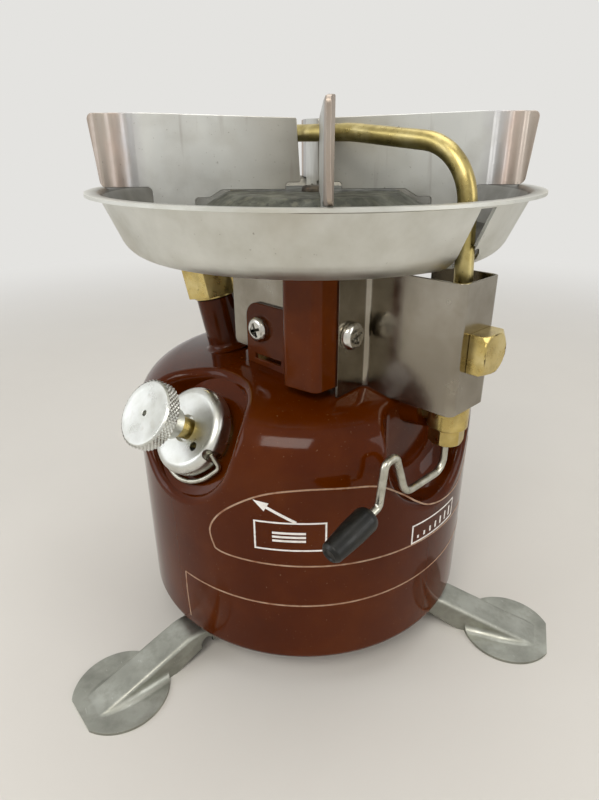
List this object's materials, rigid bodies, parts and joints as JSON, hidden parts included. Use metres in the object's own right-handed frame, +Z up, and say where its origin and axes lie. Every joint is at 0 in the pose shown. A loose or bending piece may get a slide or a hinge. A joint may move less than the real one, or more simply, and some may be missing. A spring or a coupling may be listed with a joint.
{
  "type": "compact pressure stove",
  "caption": "Compact single-burner pressure stove: round fuel tank with plunger pump, bowl with crossed pan supports, generator tube, wire valve lever and folding spoon-shaped legs.",
  "frame": {"origin": "on the tank's axis, at the level of the surface under the feet", "axes": "+Z up along the tank's axis, +Y to the back of the stove, +X to the right seen from the side of the pump and the valve"},
  "size_m": [0.1562, 0.1678, 0.165],
  "materials": {
    "tank_enamel": "gloss brown enamel",
    "bracket_enamel": "gloss brown enamel, a little worn",
    "bowl_metal": "satin, sooted inside",
    "burner_steel": "heat-stained brownish grey",
    "blade_steel": "plain sheet, heat-tinted at the ends",
    "sheet_steel": "bright bent sheet",
    "steel": "plain",
    "brass": "aged",
    "aluminium": "bright turned",
    "leg_aluminium": "dull, scuffed",
    "grip_plastic": "black",
    "leather": "oiled",
    "seal_rubber": "black"
  },
  "bodies": {
    "stove": {"tank_shell": "tank_enamel", "tank_base": "tank_enamel", "tank_bracket": "bracket_enamel", "filler_neck": "tank_enamel", "pump_barrel": "brass", "pump_cap": "aluminium", "pump_clip": "steel", "check_valve": "brass", "valve_bung": "tank_enamel", "valve_body": "brass", "valve_plug": "brass", "pickup_tube": "brass", "gland_nut": "brass", "gland_packing": "seal_rubber", "generator_nut": "brass", "generator_tube": "brass", "jet_nut": "brass", "jet": "brass", "mixing_tube": "steel", "burner_bowl": "bowl_metal", "burner_base": "burner_steel", "burner_ring_1": "burner_steel", "burner_ring_2": "burner_steel", "burner_ring_3": "burner_steel", "burner_ring_4": "burner_steel", "burner_cap": "burner_steel", "cap_screw": "steel", "burner_screws": "steel", "blade_1": "blade_steel", "blade_2": "blade_steel", "blade_3": "blade_steel", "blade_4": "blade_steel", "blade_clips": "steel", "burner_leg": "sheet_steel", "heat_shield": "sheet_steel", "bracket_screws": "steel", "leg_rivets": "steel"},
    "pump_piston": {"pump_cup": "leather", "piston_washer": "steel"},
    "pump_knob": {"pump_rod": "brass", "pump_knob": "aluminium"},
    "air_stem": {"air_stem": "brass"},
    "check_ball": {"check_ball": "steel"},
    "flame_lever": {"valve_spindle": "brass", "lever_wire": "steel", "lever_grip": "grip_plastic"},
    "metering_pin": {"metering_pin": "brass"},
    "filler_gasket": {"filler_gasket": "seal_rubber"},
    "filler_cap": {"filler_cap": "brass"},
    "leg_left": {"leg_left": "leg_aluminium"},
    "leg_right": {"leg_right": "leg_aluminium"},
    "leg_rear": {"leg_rear": "leg_aluminium"}
  },
  "joints": [
    {"name": "pump_stroke", "type": "slide", "parent": "stove", "child": "pump_piston", "axis": [-0.5221, -0.6113, 0.5948], "range_m": [0, 0.043]},
    {"name": "pump_knob_turn", "type": "hinge", "parent": "pump_piston", "child": "pump_knob", "pos_m": [-0.02832, -0.03315, 0.0771], "axis": [-0.5221, -0.6113, 0.5948], "range_deg": [0, 360]},
    {"name": "air_stem_slide", "type": "slide", "parent": "pump_knob", "child": "air_stem", "axis": [0.5221, 0.6113, -0.5948], "range_m": [0, 0.043]},
    {"name": "check_ball_lift", "type": "slide", "parent": "stove", "child": "check_ball", "axis": [0.5221, 0.6113, -0.5948], "range_m": [0, 0.0008]},
    {"name": "flame_lever_turn", "type": "hinge", "parent": "stove", "child": "flame_lever", "pos_m": [0.04206, -0.03787, 0.078], "axis": [0, 0, 1], "range_deg": [0, 110]},
    {"name": "metering_pin_lift", "type": "slide", "parent": "stove", "child": "metering_pin", "axis": [0, 0, 1], "range_m": [0, 0.00125]},
    {"name": "filler_cap_lift", "type": "slide", "parent": "stove", "child": "filler_gasket", "axis": [-0.1908, 0, 0.9816], "range_m": [0, 0.0022]},
    {"name": "filler_cap_turn", "type": "hinge", "parent": "filler_gasket", "child": "filler_cap", "pos_m": [-0.0259, 0, 0.0945], "axis": [-0.1908, 0, 0.9816], "range_deg": [0, 529]},
    {"name": "leg_left_fold", "type": "hinge", "parent": "stove", "child": "leg_left", "pos_m": [-0.02851, -0.03559, 0.005], "axis": [0, 0, 1], "range_deg": [0, 125]},
    {"name": "leg_right_fold", "type": "hinge", "parent": "stove", "child": "leg_right", "pos_m": [0.03806, -0.01823, 0.005], "axis": [0, 0, 1], "range_deg": [0, 125]},
    {"name": "leg_rear_fold", "type": "hinge", "parent": "stove", "child": "leg_rear", "pos_m": [-0.0099, 0.04287, 0.005], "axis": [0, 0, 1], "range_deg": [0, 125]}
  ],
  "couplings": [
    {"joint": "air_stem_slide", "follows": "pump_stroke", "ratio": 1},
    {"joint": "metering_pin_lift", "follows": "flame_lever_turn", "m_per_rad": 0.00062504},
    {"joint": "filler_cap_turn", "follows": "filler_cap_lift", "rad_per_m": 4188.8}
  ]
}
